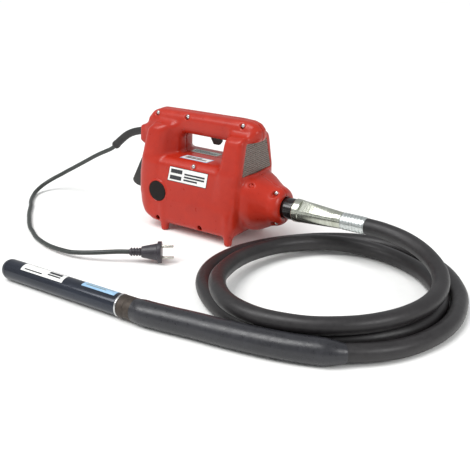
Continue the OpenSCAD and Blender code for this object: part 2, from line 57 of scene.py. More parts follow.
def makeCamera():
    data = bpy.data.cameras.new("camera")
    data.lens = viewPoint["lens"]
    data.sensor_width = 36
    data.clip_end = 50
    camera = bpy.data.objects.new("camera", data)
    camera.location = viewPoint["place"]
    camera.rotation_euler = (math.radians(viewPoint["pitch"]), 0, math.radians(viewPoint["turn"]))
    bpy.context.scene.collection.objects.link(camera)
    bpy.context.scene.camera = camera


makeCamera()


# small tools

def hexColour(code):  # sRGB hex to the linear values that shaders take
    parts = [int(code[i:i + 2], 16) / 255 for i in (1, 3, 5)]
    return [c / 12.92 if c <= 0.04045 else ((c + 0.055) / 1.055) ** 2.4 for c in parts] + [1]


def addNode(tree, kind, links=None, **settings):  # links: socket name or number to a socket or a value
    node = tree.nodes.new(kind)
    for name, value in settings.items():
        setattr(node, name, value)
    for socket, source in (links or {}).items():
        if isinstance(source, bpy.types.NodeSocket):
            tree.links.new(source, node.inputs[socket])
        else:
            node.inputs[socket].default_value = source
    return node


def worked(tree, operation, *values):  # one step of arithmetic, as its result socket
    return addNode(tree, "ShaderNodeMath", dict(enumerate(values)), operation=operation).outputs[0]


def givenSockets(tree, sockets):  # the tree's own inputs, from name and kind
    for name, kind in sockets:
        tree.interface.new_socket(name, in_out="INPUT", socket_type="NodeSocket" + kind)
    return addNode(tree, "NodeGroupInput").outputs


def handOver(tree, name, geometry, skin):  # solid geometry in its material, as the tree's output
    tree.interface.new_socket(name, in_out="OUTPUT", socket_type="NodeSocketGeometry")
    dressed = addNode(tree, "GeometryNodeSetMaterial", {"Geometry": geometry, "Material": skin})
    addNode(tree, "NodeGroupOutput", {name: dressed.outputs[0]})
    return tree


def standsFor(piece, node, body="frame"):  # the piece takes a frame part's place on its body
    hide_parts(node)
    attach(piece, body)


def meshPiece(name, points, faces, materials, place=None, crease=35):
    mesh = bpy.data.meshes.new(name)
    mesh.from_pydata([tuple(p) for p in points], [], [tuple(f) for f in faces])
    if place is not None:
        mesh.transform(place)
    for material in materials if isinstance(materials, list) else [materials]:
        mesh.materials.append(material)
    mesh.polygons.foreach_set("use_smooth", [True] * len(mesh.polygons))
    mesh.set_sharp_from_angle(angle=math.radians(crease))
    mesh.update()
    piece = bpy.data.objects.new(name, mesh)
    bpy.context.scene.collection.objects.link(piece)
    return piece


def settle(piece, crease=35):  # bakes the modifiers into a plain mesh
    graph = bpy.context.evaluated_depsgraph_get()
    mesh = bpy.data.meshes.new_from_object(piece.evaluated_get(graph), depsgraph=graph)
    name, materials = piece.name, list(piece.data.materials)
    bpy.data.objects.remove(piece)
    mesh.name = name
    if not len(mesh.materials):
        for material in materials:
            mesh.materials.append(material)
    mesh.polygons.foreach_set("use_smooth", [True] * len(mesh.polygons))
    mesh.set_sharp_from_angle(angle=math.radians(crease))
    piece = bpy.data.objects.new(name, mesh)
    bpy.context.scene.collection.objects.link(piece)
    return piece


def softCorners(outline, radius, steps=4):  # rounds the inner corners of an open outline
    result = [outline[0]]
    for before, at, after in zip(outline, outline[1:], outline[2:]):
        a, p, b = (np.array(v, float) for v in (before, at, after))
        la, lb = np.linalg.norm(a - p), np.linalg.norm(b - p)
        cut = min(radius, la * 0.45, lb * 0.45)
        s, e = p + (a - p) * cut / la, p + (b - p) * cut / lb
        for i in range(steps + 1):
            t = i / steps
            result.append(tuple((1 - t) ** 2 * s + 2 * t * (1 - t) * p + t * t * e))
    return result + [outline[-1]]


def turned(name, outline, material, place, radius=0.6, around=96, crease=50):
    # a lathe piece along X: (distance along, radius) in mm, closed on the axis or back on itself
    ring = softCorners(outline, radius) if radius else list(outline)
    points, faces, rows = [], [], []
    for x, r in ring:
        if r < 1e-6:
            rows.append([len(points)])
            points.append((x * mm, 0, 0))
            continue
        rows.append(list(range(len(points), len(points) + around)))
        for k in range(around):
            a = 2 * math.pi * k / around
            points.append((x * mm, r * mm * math.cos(a), r * mm * math.sin(a)))
    pairs = list(zip(rows, rows[1:]))
    if len(rows[0]) > 1 and len(rows[-1]) > 1:
        pairs.append((rows[-1], rows[0]))
    for first, second in pairs:
        for k in range(around):
            n = (k + 1) % around
            a = [first[k % len(first)]] if len(first) == 1 else [first[k], first[n]]
            b = [second[0]] if len(second) == 1 else [second[n], second[k]]
            if len(a) + len(b) > 2:
                faces.append(a + b)
    piece = meshPiece(name, points, faces, material, place, crease)
    return facingOut(piece)


def facingOut(piece):
    work = bmesh.new()
    work.from_mesh(piece.data)
    bmesh.ops.remove_doubles(work, verts=work.verts, dist=1e-7)
    bmesh.ops.recalc_face_normals(work, faces=work.faces)
    work.to_mesh(piece.data)
    work.free()
    return piece


def slab(name, outline, low, high, material, place, bevel=1.0, crease=40):
    # an outline in the x-z plane, in mm, carried across from y low to y high, with rounded edges
    n = len(outline)
    points = [(x * mm, y * mm, z * mm) for y in (low, high) for x, z in outline]
    faces = [tuple(range(n)), tuple(range(2 * n - 1, n - 1, -1))]
    faces += [(i, i + n, (i + 1) % n + n, (i + 1) % n) for i in range(n)]
    piece = facingOut(meshPiece(name, points, faces, material, place, crease))
    if bevel:
        edge = piece.modifiers.new("edge", "BEVEL")
        edge.width, edge.segments, edge.limit_method = bevel * mm, 3, "ANGLE"
        edge.angle_limit = math.radians(25)
        piece = settle(piece, crease)
    return piece


# materials: each entry is a real finish, with its colours, grain in mm and shine

finishes = {
    # injection moulded polyamide: deep orange red, glossy, with a faint orange peel and dusty patches
    "mouldedOrangePolyamide": dict(
        dark="#A22313", light="#B02A17", patch=90, rough=(0.27, 0.36), bump=(3.5, 0.03), shine=0.35),
    # pressed steel mesh, grey paint over zinc
    "grilleSteelSheet": dict(
        dark="#71665F", light="#8C8179", patch=6, rough=(0.42, 0.6), bump=(0.8, 0.03), metallic=0.3),
    # glass filled nylon, nearly black, dull
    "blackNylon": dict(dark="#131313", light="#242322", patch=9, rough=(0.42, 0.6), bump=(0.8, 0.06)),
    # smooth thermoset cap, warm black
    "capBakelite": dict(
        dark="#0C0706", light="#170F0D", patch=14, rough=(0.5, 0.65), bump=(1.1, 0.05), shine=0.22),
    # zinc plated screws, bright
    "zincPlatedSteel": dict(
        dark="#A9AAAC", light="#E2E2E0", patch=2, rough=(0.18, 0.34), bump=(0.6, 0.02), metallic=1),
    # ground bearing and shaft steel
    "groundSteel": dict(
        dark="#85868A", light="#B9BABD", patch=4, rough=(0.2, 0.36), bump=(0.4, 0.02), metallic=1),
    # stacked electrical sheet, blued by annealing
    "laminatedIron": dict(
        dark="#3B3E45", light="#5E6168", patch=5, rough=(0.4, 0.6), bump=(0.6, 0.05), metallic=0.9),
    # enamelled copper wire
    "enamelledCopper": dict(
        dark="#7C3A18", light="#B5622C", patch=3, rough=(0.25, 0.42), bump=(0.9, 0.15), metallic=0.85),
    # pressed carbon, dusty
    "pressedCarbon": dict(dark="#141414", light="#2B2B2B", patch=2, rough=(0.6, 0.85), bump=(0.4, 0.05)),
    # white nylon fan and plunger, slightly yellow
    "naturalNylon": dict(dark="#C9C3B2", light="#E6E1D2", patch=12, rough=(0.36, 0.5), bump=(1.5, 0.03)),
    # dipped film capacitor
    "dippedResin": dict(dark="#A8893C", light="#CFB25E", patch=8, rough=(0.2, 0.35), bump=(3, 0.08)),
    # drawn spring wire
    "springWire": dict(
        dark="#77705F", light="#A59C86", patch=2, rough=(0.25, 0.4), bump=(0.4, 0.02), metallic=1),
    # mains flex sheath, smooth vinyl, grey black
    "vinylSheath": dict(dark="#232725", light="#363B38", patch=20, rough=(0.36, 0.5), bump=(1.6, 0.03)),
    # moulded plug, dusky black with a violet cast
    "plugVinyl": dict(dark="#232024", light="#3B363E", patch=9, rough=(0.34, 0.5), bump=(1.0, 0.05)),
    # nickel plated brass pins
    "nickelledBrass": dict(
        dark="#B9B6AC", light="#E4E2DA", patch=3, rough=(0.15, 0.28), bump=(0.5, 0.01), metallic=1),
    # hard black collar, polished, so that it mirrors the lamps
    "polishedAcetal": dict(dark="#0B0909", light="#1A1314", patch=12, rough=(0.12, 0.18), bump=(1.2, 0.01)),
    # turned and zinc plated steel, bright with fine lathe marks round it
    "turnedBrightSteel": dict(
        dark="#A9AB9C", light="#D3D6CB", patch=14, rough=(0.16, 0.26), bump=(0.7, 0.004), metallic=1,
        stretch=(1, 0.08, 0.08)),
    # cast and crimped ferrule, bright and uneven
    "crimpedZinc": dict(
        dark="#B4B9B7", light="#E6EAE9", patch=4, rough=(0.24, 0.36), bump=(1.1, 0.04), metallic=1),
    # extruded hose rubber, charcoal, softly shining, with scuffs
    "hoseRubber": dict(
        dark="#1D1B1C", light="#2A2829", patch=40, rough=(0.36, 0.5), bump=(1.8, 0.04), shine=0.4),
    # heavy sleeve rubber, dull at the needle end and rubbed shiny at the other
    "sleeveRubber": dict(
        dark="#1C1C20", light="#29292E", patch=40, rough=(0.24, 0.42), bump=(2.4, 0.05), shine=0.5),
    # browned steel ferrule with a trace of rust and cement dust
    "brownedSteel": dict(
        dark="#332C28", light="#4E463F", patch=5, rough=(0.42, 0.62), bump=(0.9, 0.07), metallic=0.6),
    # hardened and oil blued needle tube
    "oilBluedSteel": dict(
        dark="#1B1F28", light="#2A2F3A", patch=20, rough=(0.14, 0.22), bump=(1.0, 0.008), metallic=0.3,
        stretch=(0.15, 1, 1)),
    # vinyl stickers
    "whiteSticker": dict(dark="#D9DAD6", light="#F3F3F0", patch=14, rough=(0.25, 0.38), bump=(2.0, 0.01)),
    "blueSticker": dict(dark="#7FA9CC", light="#A9CBE4", patch=9, rough=(0.25, 0.38), bump=(2.0, 0.01)),
    "inkSticker": dict(dark="#14161B", light="#2A2D33", patch=5, rough=(0.3, 0.42), bump=(2.0, 0.01)),
    "foilPlate": dict(
        dark="#8F9C93", light="#C3CCC4", patch=4, rough=(0.22, 0.34), bump=(1.0, 0.02), metallic=0.8),
}


def makeFinish(name, dark, light, patch, rough, bump, metallic=0.0, shine=0.5, stretch=(1, 1, 1)):
    material = bpy.data.materials.new(name)
    material.use_nodes = True
    tree = material.node_tree
    shader = tree.nodes["Principled BSDF"]
    shader.inputs["Metallic"].default_value = metallic
    shader.inputs["Specular IOR Level"].default_value = shine
    where = addNode(tree, "ShaderNodeTexCoord")
    lay = addNode(tree, "ShaderNodeMapping", {"Vector": where.outputs["Object"], "Scale": stretch})
    patches = addNode(tree, "ShaderNodeTexNoise", {
        "Vector": lay.outputs[0], "Scale": 1 / (patch * mm), "Detail": 5, "Roughness": 0.6})
    specks = addNode(tree, "ShaderNodeTexNoise", {
        "Vector": lay.outputs[0], "Scale": 6 / (patch * mm), "Detail": 3, "Roughness": 0.7})
    blend = worked(tree, "ADD", patches.outputs["Fac"], specks.outputs["Fac"])
    share = addNode(tree, "ShaderNodeMapRange", {
        "Value": blend, "From Min": 0.7, "From Max": 1.3, "To Min": 0, "To Max": 1})
    colour = addNode(tree, "ShaderNodeMix", {
        0: share.outputs[0], 6: hexColour(dark), 7: hexColour(light)}, data_type="RGBA")
    tree.links.new(colour.outputs[2], shader.inputs["Base Color"])
    polish = addNode(tree, "ShaderNodeMapRange", {
        "Value": specks.outputs["Fac"], "From Min": 0.3, "From Max": 0.7,
        "To Min": rough[0], "To Max": rough[1]})
    tree.links.new(polish.outputs[0], shader.inputs["Roughness"])
    grain = addNode(tree, "ShaderNodeTexNoise", {
        "Vector": lay.outputs[0], "Scale": 1 / (bump[0] * mm), "Detail": 2, "Roughness": 0.5})
    relief = addNode(tree, "ShaderNodeBump", {
        "Height": grain.outputs["Fac"], "Distance": bump[1] * mm, "Strength": 1.0})
    tree.links.new(relief.outputs[0], shader.inputs["Normal"])
    return material


finish = {name: makeFinish(name, **values) for name, values in finishes.items()}
print("materials made")


# cords: the flexible shaft hose, its rubber sleeve and the mains cable, points in mm

hoseRoute = [
    (233.05, 152.5, 70), (241, 152.5, 69.9), (263, 153, 68.5), (296, 150, 64.5), (327, 140, 59),
    (354, 124, 52.5),
    (376, 102, 47), (391, 73, 42.5), (398, 41, 39.5), (397, 7, 38), (389, -26, 37.5),
    (375, -57, 37.5), (354, -86, 37.5), (329, -110, 38), (300, -129, 38), (268, -141, 38.5),
    (236, -147, 39), (204, -144, 39.5), (174, -133, 39.5), (148, -114, 39), (126, -89, 36.5),
    (108, -60, 33), (96, -27, 29.5), (88, 6, 26.5), (86, 41, 24.5), (91, 74, 23),
    (102, 106, 22.5), (120, 134, 22), (143, 159, 20.5), (171, 177, 19), (202, 189, 16.5),
    (235, 193, 14.5), (267, 188, 13.5), (299, 177, 12.5), (329, 159, 12.5), (355, 135, 12.5),
    (376, 108, 12.5), (391, 77, 12.5), (398, 45, 12.5), (398, 12, 12.5), (390, -20, 12.5),
    (374, -49, 12.5), (353, -76, 12.5), (326, -99, 12.5), (297, -116, 12.5), (265, -127, 12.5),
    (232, -132, 12.5), (198, -130, 12.5), (165, -121, 12.5), (134, -106, 12.5), (106, -86, 12.5),
    (82, -62, 12.5), (64, -34, 12.5), (53, -3, 12.5), (50, 30, 12.5), (54, 63, 12.5),
    (65, 95, 12.5), (81, 126, 12.5), (102, 154, 12.5), (126, 180, 12.5), (153, 201, 12.5),
    (182, 217, 12.5), (214, 226, 12.5), (246, 227, 12.5), (279, 221, 12.5), (310, 209, 12.5),
    (339, 191, 12.5), (365, 168, 12.5), (387, 141, 12.5), (405, 112, 12.5), (417, 80, 12.5),
    (425, 47, 12.5), (427, 13, 12.5), (423, -20, 12.5), (413, -53, 12.5), (398, -83, 13.5),
    (378, -109, 15), (354, -131, 16.5)]
sleeveRoute = [
    (353.9, -131.1, 16.5), (349.2, -135.4, 16.8), (338, -142.5, 17.6), (325, -148.5, 18),
    (294, -160, 18.5), (261, -168, 18.7), (227, -174, 18.5), (193, -178.5, 18.5),
    (159, -182, 18.3), (125, -186.5, 18), (106, -189.4, 18.2), (88, -191.4, 18.18),
    (74, -192, 18.08), (64, -192, 18)]
reliefRoute = [
    (-195, 152.5, 157.5), (-204, 152.5, 154.9), (-207.5, 152.5, 153.9), (-221, 152.5, 150.6),
    (-236, 152.5, 145.8), (-251, 152.5, 138), (-267, 152.5, 125.5), (-280, 152.5, 114.2)]
cableRoute = [
    (-280.1, 152.5, 114.1), (-284, 152.5, 110.7), (-292, 152.5, 105.5), (-304, 152.5, 99.5),
    (-319, 153, 92.3), (-334, 153, 84.5), (-349, 153, 76), (-364, 153.5, 67.5), (-379, 153.5, 59),
    (-394, 153, 50.5), (-409, 152, 42), (-424, 149.5, 33), (-438, 144, 24.5), (-448, 133, 16.5),
    (-451, 118, 10), (-447, 102, 6), (-438, 87, 4), (-427, 73, 4), (-415, 60, 4), (-402, 48, 4),
    (-390, 35, 4), (-378, 22, 4), (-366, 10, 4), (-354, -1, 4), (-341, -13, 4),
    (-328, -24, 4), (-315, -34, 4), (-300, -43, 4), (-286, -52, 4), (-271, -60, 4),
    (-256, -66, 4.5), (-240, -72, 5.5), (-223, -77, 6.5), (-206, -80, 7.5), (-190, -81.5, 8.5),
    (-172, -81.5, 9.5), (-156, -79, 11.5), (-140, -74, 13.5), (-124, -67.5, 15.5), (-109, -60, 17.3),
    (-94, -51, 18.5), (-80, -42, 18.5)]
cordSizes = {
    "hoseDiameter": 25, "hoseLength": 2.88, "hoseStep": 6, "sleeveDiameter": 36, "sleeveStep": 3,
    "cableDiameter": 7.5, "cableLength": 0.68, "cableStep": 4, "reliefDiameter": 14.4, "reliefStep": 1.5}
sleeveWidths = [  # share of the length, share of the radius
    (0, 0.71), (0.006, 0.745), (0.02, 0.79), (0.04, 0.87), (0.06, 0.93), (0.08, 0.975),
    (0.105, 1.0), (0.96, 1.0), (0.975, 0.97), (0.99, 0.93), (1, 0.925)]
reliefWidths = [
    (0, 1.19), (0.1, 1.19), (0.12, 0.93), (0.45, 0.93), (0.88, 0.985), (0.93, 1.0), (0.935, 1.06),
    (0.985, 1.06), (1, 0.98)]


def smoothRoute(points, step):  # a curve through every point, in metres, about step mm apart
    p = np.array(points, float) * mm
    ends = np.vstack([2 * p[0] - p[1], p, 2 * p[-1] - p[-2]])
    result = []
    for a, b, c, d in zip(ends, ends[1:], ends[2:], ends[3:]):
        count = max(1, round(float(np.linalg.norm(c - b)) / (step * mm)))
        for i in range(count):
            t = i / count
            result.append(0.5 * (2 * b + (c - a) * t + (2 * a - 5 * b + 4 * c - d) * t ** 2
                                 + (3 * b - a - 3 * c + d) * t ** 3))
    return result + [p[-1]]


def routeTree():  # sweeps a round section along a curve
    tree = bpy.data.node_groups.new("roundSectionAlongRoute", "GeometryNodeTree")
    given = givenSockets(tree, [
        ("Route", "Geometry"), ("Radius", "Float"), ("Sides", "Int"), ("Skin", "Material")])
    section = addNode(tree, "GeometryNodeCurvePrimitiveCircle", {
        "Resolution": given["Sides"], "Radius": given["Radius"]})
    width = addNode(tree, "GeometryNodeInputRadius")
    tube = addNode(tree, "GeometryNodeCurveToMesh", {
        "Curve": given["Route"], "Profile Curve": section.outputs[0], "Scale": width.outputs[0],
        "Fill Caps": True})
    solid = addNode(tree, "GeometryNodeRealizeInstances", {"Geometry": tube.outputs[0]})
    return handOver(tree, "Tube", solid.outputs[0], given["Skin"])


def giveInputs(modifier, values):  # by each socket's identifier
    for item in modifier.node_group.interface.items_tree:
        if item.in_out == "INPUT" and item.name in values:
            modifier[item.identifier] = values[item.name]


tubeTree = routeTree()


def tube(name, route, radius, sides, material, widths=None):
    # widths: share of the radius at shares of the length, to thicken or round the ends
    curve = bpy.data.curves.new(name, "CURVE")
    curve.dimensions = "3D"
    spline = curve.splines.new("POLY")
    spline.points.add(len(route) - 1)
    for i, (knot, at) in enumerate(zip(spline.points, route)):
        knot.co = (*at, 1)
        if widths:
            knot.radius = float(np.interp(i / (len(route) - 1), *zip(*widths)))
    piece = bpy.data.objects.new(name, curve)
    bpy.context.scene.collection.objects.link(piece)
    sweep = piece.modifiers.new("sweep", "NODES")
    sweep.node_group = tubeTree
    giveInputs(sweep, {"Radius": radius * mm, "Sides": sides, "Skin": material})
    graph = bpy.context.evaluated_depsgraph_get()
    mesh = bpy.data.meshes.new_from_object(piece.evaluated_get(graph), depsgraph=graph)
    bpy.data.objects.remove(piece)
    mesh.name = name
    mesh.polygons.foreach_set("use_smooth", [True] * len(mesh.polygons))
    mesh.set_sharp_from_angle(angle=math.radians(60))
    made = bpy.data.objects.new(name, mesh)
    bpy.context.scene.collection.objects.link(made)
    return facingOut(made)


hoseLine = smoothRoute(hoseRoute[:-1] + sleeveRoute, cordSizes["hoseStep"])
sleeveLine = smoothRoute(sleeveRoute, cordSizes["sleeveStep"])
cableLine = smoothRoute(cableRoute, cordSizes["cableStep"])
hose = tube("flexibleShaftHose", hoseLine, cordSizes["hoseDiameter"] / 2, 48, finish["hoseRubber"])
sleeve = tube("hoseSleeve", sleeveLine, cordSizes["sleeveDiameter"] / 2, 64, finish["sleeveRubber"],
              widths=sleeveWidths)
cable = tube("mainsCable", cableLine, cordSizes["cableDiameter"] / 2, 24, finish["vinylSheath"])
standsFor(hose, "hose")
standsFor(sleeve, "hose_sleeve")
standsFor(cable, "mains_cable")
print("cords laid")


# plug and strain relief

plugSizes = {"pinRadius": 2.4, "pinFromAxis": 9.5, "sleeveRibs": 4, "firstRib": 2, "ribStep": 4.4}


def stackTree():  # copies of a piece in a row along X
    tree = bpy.data.node_groups.new("rowOfCopies", "GeometryNodeTree")
    given = givenSockets(tree, [("Body", "Geometry"), ("Copy", "Object"), ("Count", "Int"),
                                ("First", "Float"), ("Step", "Float"), ("Skin", "Material")])
    start = addNode(tree, "ShaderNodeCombineXYZ", {"X": given["First"]})
    stride = addNode(tree, "ShaderNodeCombineXYZ", {"X": given["Step"]})
    line = addNode(tree, "GeometryNodeMeshLine", {
        "Count": given["Count"], "Start Location": start.outputs[0], "Offset": stride.outputs[0]})
    copy = addNode(tree, "GeometryNodeObjectInfo", {"Object": given["Copy"]})
    row = addNode(tree, "GeometryNodeInstanceOnPoints", {
        "Points": line.outputs[0], "Instance": copy.outputs["Geometry"]})
    joined = addNode(tree, "GeometryNodeJoinGeometry")
    tree.links.new(given["Body"], joined.inputs[0])
    tree.links.new(row.outputs[0], joined.inputs[0])
    solid = addNode(tree, "GeometryNodeRealizeInstances", {"Geometry": joined.outputs[0]})
    return handOver(tree, "Row", solid.outputs[0], given["Skin"])


rowTree = stackTree()


def withRow(piece, copy, count, first, step, material, place):
    row = piece.modifiers.new("row", "NODES")
    row.node_group = rowTree
    giveInputs(row, {
        "Copy": copy, "Count": count, "First": first * mm, "Step": step * mm, "Skin": material})
    bpy.context.view_layer.update()
    made = settle(piece, 40)
    bpy.data.objects.remove(copy)
    made.data.transform(place)
    return made


here = Matrix.Identity(4)
core = turned("plugSleeve", [(0, 0), (0, 5.0), (19.2, 5.4), (19.2, 0)], finish["plugVinyl"], here, 0.8, 48)
rib = turned("rib", [(0, 5), (0, 6.6), (2.4, 6.6), (2.4, 5)], finish["plugVinyl"], here, 0.5, 48)
plugSleeve = withRow(core, rib, plugSizes["sleeveRibs"], plugSizes["firstRib"], plugSizes["ribStep"],
                     finish["plugVinyl"], atPlug)
plugBody = turned("plugBody", [
    (19, 0), (19, 8.6), (21, 9.2), (43.5, 13.6), (44.5, 14.2), (45, 17), (51, 17), (51, 0)],
    finish["plugVinyl"], atPlug, 0.9)
pinR = plugSizes["pinRadius"]
pinLathe = [(46, 0), (46, pinR), (68.8, pinR), (69.8, 1.5), (70, 0)]
pins = []
for name, side in (("plugPinLow", -1), ("plugPinHigh", 1)):
    place = atPlug @ Matrix.Translation((0, 0, side * plugSizes["pinFromAxis"] * mm))
    pins.append(turned(name, pinLathe, finish["nickelledBrass"], place, 0.3, 32))
strainRelief = tube("strainRelief", smoothRoute(reliefRoute, cordSizes["reliefStep"]),
                    cordSizes["reliefDiameter"] / 2, 48, finish["blackNylon"], widths=reliefWidths)
standsFor(plugSleeve, "plug_sleeve")
standsFor(plugBody, "plug_body")
for pin in pins:
    standsFor(pin, "plug_pins")
standsFor(strainRelief, "strain_relief")
print("plug made")


# moulded housing: one half is a distance field in motor millimetres, skinned on a grid

shell = {"cell": 1.6, "wall": 3.0, "gap": 0.08, "axis": 70, "top": 131}
bodySide = [(-90, 13), (-112, 23), (-123, 37), (-130.5, 58), (-125, 96), (-117.5, 131), (91, 131),
            (87, 62), (85, 34), (80, 22), (72, 13)]
rearColumn = [(-119, 62), (-120, 100), (-111.5, 150), (-107, 172), (-97, 187), (-50, 187), (-53, 150),
              (-56, 131), (-60, 70)]
frontColumn = [(39, 70), (48, 131), (54.5, 187), (91, 187), (92, 120), (87, 66)]
columnAcross = [(-55.6, 50), (-51.6, 125), (-44.5, 168), (-41.5, 177), (-33, 184), (33, 184), (41.5, 177),
                (44.5, 168), (51.6, 125), (55.6, 50)]
gripSide = [(-118, 120), (-129, 150), (-132, 168), (-127, 184), (-116, 196), (-101, 202), (-60, 203),
            (60, 205), (82, 204), (94, 200), (102, 191), (103, 178), (91, 160), (91, 120), (49, 120),
            (54, 160), (49, 165.5), (-50, 165.5), (-57, 161), (-60, 120)]
noseLathe = [(0, 70), (48, 70), (48.5, 96), (46, 105), (39, 119), (34, 130), (32.3, 139), (29.5, 144.5),
             (24.5, 148.5), (0, 148.5)]
hornSide = [(-108, 170), (-132, 171), (-145.5, 166), (-147.5, 139), (-137, 133), (-108, 130)]
screws = [(-103, 194, -13), (-39, 196, -13), (73, 197, -13), (-3, 124, -47), (-77, 21.5, -44),
          (13, 21.5, -44), (138, 96, -13), (139, 46, -13)]  # x, z and y of the seat
pillars = [(-103, 194, 5), (-39, 196, 5), (73, 197, 5), (-3, 124, 5.6), (-77, 21.5, 5.6), (13, 21.5, 5.6)]


def outlineField(u, v, corners):  # signed distance to a closed outline, negative inside
    shape = np.broadcast(u, v).shape
    near, inside = np.full(shape, 1e9), np.zeros(shape, bool)
    for (ax, ay), (bx, by) in zip(corners, corners[1:] + corners[:1]):
        ex, ey = bx - ax, by - ay
        t = np.clip(((u - ax) * ex + (v - ay) * ey) / (ex * ex + ey * ey), 0, 1)
        near = np.minimum(near, (u - ax - t * ex) ** 2 + (v - ay - t * ey) ** 2)
        if ey:
            inside = inside ^ (((ay > v) != (by > v)) & (u < (v - ay) * ex / ey + ax))
    return np.where(inside, -1, 1) * np.sqrt(near)


def softMax(a, b, k):
    h = np.maximum(k - np.abs(a - b), 0) / k
    return np.maximum(a, b) + h * h * k / 4


def softMin(a, b, k):
    return -softMax(-a, -b, k)


def planField(x, y, half, corner):  # rounded rectangle seen from above, from x -134 to 92
    qx, qy = np.abs(x + 21) - 113 + corner, np.abs(y) - half + corner
    return np.minimum(np.maximum(qx, qy), 0) + np.hypot(np.maximum(qx, 0), np.maximum(qy, 0)) - corner


def housingOutside(x, y, z):
    half = np.interp(z, [60, 131, 170, 190], [56, 51.2, 44, 41])  # the sides lean in towards the top
    corner = np.where(x < -21, 38, 9)
    plan = planField(x, y, half, corner)
    waist = np.interp(z, [62, 131], [0, 2.6]) * np.clip(np.minimum(x + 82, 56 - x) / 8, 0, 1)
    crown = 0.0035 * np.maximum(np.abs(y) - 18, 0) ** 2 * (z > 100)  # the top falls off towards both sides
    body = softMax(outlineField(x, z, bodySide) + crown, plan + waist, 13)
    bay = (x + 56 + 0.75 * np.maximum(np.abs(y) - 18, 0)) * 0.8  # it opens out towards the sides
    rear = softMax(outlineField(x, z, rearColumn), bay, 8)
    columns = np.minimum(rear, outlineField(x, z, frontColumn))
    columns = softMax(softMax(columns, outlineField(y, z, columnAcross), 12), plan - 1.5, 5)
    grip = softMax(outlineField(x, z, gripSide), np.abs(y) - 18, 15)
    square = np.interp(x, [96, 140], [3.2, 2.0])  # the nose starts squarish and ends round
    lift = np.maximum(z - shell["axis"], 0)
    around = (np.abs(y) ** square + lift ** square) ** (1 / square)
    around = np.where(z > shell["axis"], around, np.hypot(y, z - shell["axis"]))
    nose = outlineField(around, x, noseLathe)
    horn = softMax(outlineField(x, z, hornSide), np.abs(y) - 15, 6)
    feet = np.full(np.broadcast(x, y, z).shape, 1e9)
    for footX in (-67, 67):
        post = np.hypot(x - footX, np.abs(y) - 48.5 + 0.02 * z) - 6.9 - 0.02 * z
        feet = np.minimum(feet, softMax(softMax(post, -z + 0 * x, 3), z - 52, 4))
    whole = softMin(body, columns, 5)
    whole = softMin(whole, grip, 12)
    whole = softMin(whole, nose, 6)
    whole = softMin(whole, horn, 6)
    return softMin(whole, feet, 5)


def blurred(field):  # two passes of a small filter round every edge like a mould's
    for axis in (0, 1, 2, 0, 1, 2):
        before, after = np.roll(field, 1, axis), np.roll(field, -1, axis)
        keep = [slice(None)] * 3
        for end, copy in ((0, before), (-1, after)):
            keep[axis] = end
            copy[tuple(keep)] = field[tuple(keep)]
        field = 0.25 * before + 0.5 * field + 0.25 * after
    return field


def box(x, y, z, low, high):
    across = [np.maximum(low[i] - v, v - high[i]) for i, v in enumerate((x, y, z))]
    return np.maximum(np.maximum(across[0], across[1]), across[2])


def ribField(x, y, z):  # what a half holds inside, as in the frame's own housing
    ribs = np.full(np.broadcast(x, y, z).shape, 1e9)
    around = np.hypot(y, z - shell["axis"])
    for px, pz, pr in pillars:
        ribs = np.minimum(ribs, np.hypot(x - px, z - pz) - pr + 0 * y)
    rear = np.maximum(box(x, y, z, (-112, -60, 24), (-100, 1, 93)), 13.1 - around)
    front = np.maximum(box(x, y, z, (70.5, -60, 24), (81.5, 1, 122)), 16.1 - around)
    ribs = np.minimum(ribs, np.minimum(rear, front))
    stator = np.maximum(np.hypot(y, z - 70) - 43.2, np.maximum(np.abs(y), np.abs(z - 70)) - 40.2)
    for px in (-40, 2):
        ribs = np.minimum(ribs, np.maximum(box(x, y, z, (px, -60, 24), (px + 6, 1, 129.5)), -stator))
    ribs = np.minimum(ribs, box(x, y, z, (-104, -52, 92), (-84, 1, 94.9)))
    return np.minimum(ribs, box(x, y, z, (-134, -21, 38), (-110, -13.9, 136)))


def halfField(x, y, z, heads):
    outside = blurred(housingOutside(x, y, z) + 0 * (x + y + z))
    rim = np.maximum(np.hypot(x + 76, z - shell["axis"]) - 19.6, -55.9 - y)  # raised rim round the side cap
    outside = softMin(outside, np.maximum(rim, y + 50), 1.2)
    solid = np.maximum(outside, -np.maximum(outside + shell["wall"], x - 118))
    solid = np.minimum(solid, np.maximum(ribField(x, y, z), outside + 0.6))
    around = np.hypot(y, z - shell["axis"])
    grille = np.maximum(outlineField(y, z, [(-41, 120.5), (41, 120.5), (28, 172), (-28, 172)]), 86 - x)
    tilt = math.radians(74)
    mouth = np.hypot((x + 145) * math.cos(tilt) - (z - 154.4) * math.sin(tilt), y) - 9
    cuts = [
        (np.maximum(around - 20.05, np.abs(x - 131.6) - 14.6), 0.4),  # bore for the nose socket
        (np.maximum(around - 17.9, 140 - x), 1.2),  # lip round the collar
        (grille, 1.6),
        (box(x, y, z, (-150, -13.5, 44), (-113, 13.5, 134)), 1.2),  # paddle slot
        (np.maximum(mouth, x + 128), 1.5),
        (box(x, y, z, (-132, -9, 146), (-106, 9, 162)), 0.5),
        (np.maximum(np.hypot(x + 76, z - 70) - 14.1, y + 40), 0.6),
        (np.maximum(np.hypot(x + 76, z - 70) - 17.9, y + 54), 0.6),
        (np.maximum(np.hypot(np.hypot(x - 104, z - 109), y + 34) - 4.6, -outside - 2), 1),  # small pocket
    ]
    for sx, sz, seat in screws:
        across = np.hypot(x - sx, z - sz)
        if heads:
            cuts.append((np.maximum(across - 4.3, y - seat), 1.4))
        cuts.append((np.maximum(across - 2.1, y - 10 if heads else -y - 10), 0.3))
    for cut, k in cuts:
        solid = softMax(solid, -cut, k)
    return np.maximum(solid, y + shell["gap"])


